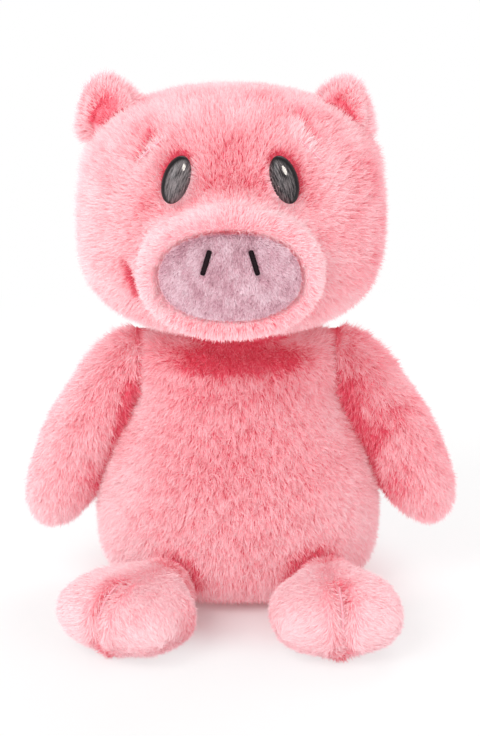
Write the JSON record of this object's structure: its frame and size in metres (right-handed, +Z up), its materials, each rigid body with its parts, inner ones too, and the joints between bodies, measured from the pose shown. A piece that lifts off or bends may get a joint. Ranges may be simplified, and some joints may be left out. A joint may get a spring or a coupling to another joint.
{
  "type": "plush pig",
  "caption": "Seated soft-toy pig in faux fur, with a padded muzzle and snout pad, glossy oval eyes, and a head, arms, legs, ears and tail that bend at their sewn roots.",
  "frame": {"origin": "on the flat of the seat, in the surface that the toy sits on, under the middle of the body", "axes": "+Z up, -Y the way the face looks, +X towards the viewer's right as the face is looked at"},
  "size_m": [0.2175, 0.2003, 0.2584],
  "materials": {
    "pink_fur": "long faux fur, pale tips over deep pink roots",
    "snout_pile": "short plush pile",
    "ear_lining_pile": "short plush pile",
    "eye_plastic": "glossy moulded plastic",
    "washer_plastic": "plain moulded plastic",
    "nostril_thread": "satin stitch",
    "sewing_thread": "sewing thread",
    "stuffing": "loose fibre filling",
    "pellet_cotton": "plain cotton bag"
  },
  "bodies": {
    "torso": {"body_cover": "pink_fur", "body_stuffing": "stuffing", "pellet_bag": "pellet_cotton", "closing_seam": "sewing_thread", "hip_seam_left": "sewing_thread", "hip_seam_right": "sewing_thread"},
    "neck": {"neck_seam": "sewing_thread"},
    "head": {"head_cover": "pink_fur", "head_stuffing": "stuffing", "muzzle_cover": "pink_fur", "muzzle_stuffing": "stuffing", "snout_pad": "snout_pile", "nostril_left": "nostril_thread", "nostril_right": "nostril_thread", "eye_left": "eye_plastic", "eye_right": "eye_plastic", "eye_washer_left": "washer_plastic", "eye_washer_right": "washer_plastic", "brow_stitch_left": "sewing_thread", "brow_stitch_right": "sewing_thread"},
    "left_ear": {"ear_left": "pink_fur", "ear_lining_left": "ear_lining_pile"},
    "right_ear": {"ear_right": "pink_fur", "ear_lining_right": "ear_lining_pile"},
    "left_shoulder": {"shoulder_seam_left": "sewing_thread"},
    "right_shoulder": {"shoulder_seam_right": "sewing_thread"},
    "left_arm": {"arm_cover_left": "pink_fur", "arm_stuffing_left": "stuffing"},
    "right_arm": {"arm_cover_right": "pink_fur", "arm_stuffing_right": "stuffing"},
    "left_leg": {"leg_cover_left": "pink_fur", "leg_stuffing_left": "stuffing", "toe_stitch_left": "sewing_thread"},
    "right_leg": {"leg_cover_right": "pink_fur", "leg_stuffing_right": "stuffing", "toe_stitch_right": "sewing_thread"},
    "tail_body": {"tail": "pink_fur"}
  },
  "joints": [
    {"name": "head_turn", "type": "hinge", "parent": "torso", "child": "neck", "pos_m": [0, 0, 0.12], "axis": [0, 0, 1], "range_deg": [-20, 20], "stiffness_Nm_per_rad": 0.4},
    {"name": "head_nod", "type": "hinge", "parent": "neck", "child": "head", "pos_m": [0, 0, 0.12], "axis": [1, 0, 0], "range_deg": [-10, 10], "stiffness_Nm_per_rad": 0.6},
    {"name": "ear_fold_left", "type": "hinge", "parent": "head", "child": "left_ear", "pos_m": [-0.061, 0.004, 0.23868], "axis": [-0.9613, 0, -0.2756], "range_deg": [-15, 15], "stiffness_Nm_per_rad": 0.004},
    {"name": "ear_fold_right", "type": "hinge", "parent": "head", "child": "right_ear", "pos_m": [0.0488, 0.004, 0.23737], "axis": [-0.9613, 0, 0.2756], "range_deg": [-15, 15], "stiffness_Nm_per_rad": 0.004},
    {"name": "arm_swing_left", "type": "hinge", "parent": "torso", "child": "left_shoulder", "pos_m": [-0.04923, 0, 0.1135], "axis": [-0.9563, 0, 0.2924], "range_deg": [-35, 70], "stiffness_Nm_per_rad": 0.03},
    {"name": "arm_swing_right", "type": "hinge", "parent": "torso", "child": "right_shoulder", "pos_m": [0.04942, 0, 0.1135], "axis": [-0.9455, 0, -0.3256], "range_deg": [-35, 70], "stiffness_Nm_per_rad": 0.03},
    {"name": "arm_lift_left", "type": "hinge", "parent": "left_shoulder", "child": "left_arm", "pos_m": [-0.04739, 0, 0.12601], "axis": [0, 1, 0], "range_deg": [0, 35], "stiffness_Nm_per_rad": 0.03},
    {"name": "arm_lift_right", "type": "hinge", "parent": "right_shoulder", "child": "right_arm", "pos_m": [0.04714, 0, 0.12594], "axis": [0, -1, 0], "range_deg": [0, 35], "stiffness_Nm_per_rad": 0.03},
    {"name": "leg_raise_left", "type": "hinge", "parent": "torso", "child": "left_leg", "pos_m": [-0.0385, -0.06753, 0.018], "axis": [-0.8387, 0.5446, 0], "range_deg": [0, 50], "stiffness_Nm_per_rad": 0.03},
    {"name": "leg_raise_right", "type": "hinge", "parent": "torso", "child": "right_leg", "pos_m": [0.0437, -0.06548, 0.018], "axis": [-0.9945, -0.1045, 0], "range_deg": [0, 50], "stiffness_Nm_per_rad": 0.03},
    {"name": "tail_flop", "type": "hinge", "parent": "torso", "child": "tail_body", "pos_m": [0, 0.06117, 0.04], "axis": [1, 0, 0], "range_deg": [-25, 25], "stiffness_Nm_per_rad": 0.004}
  ]
}
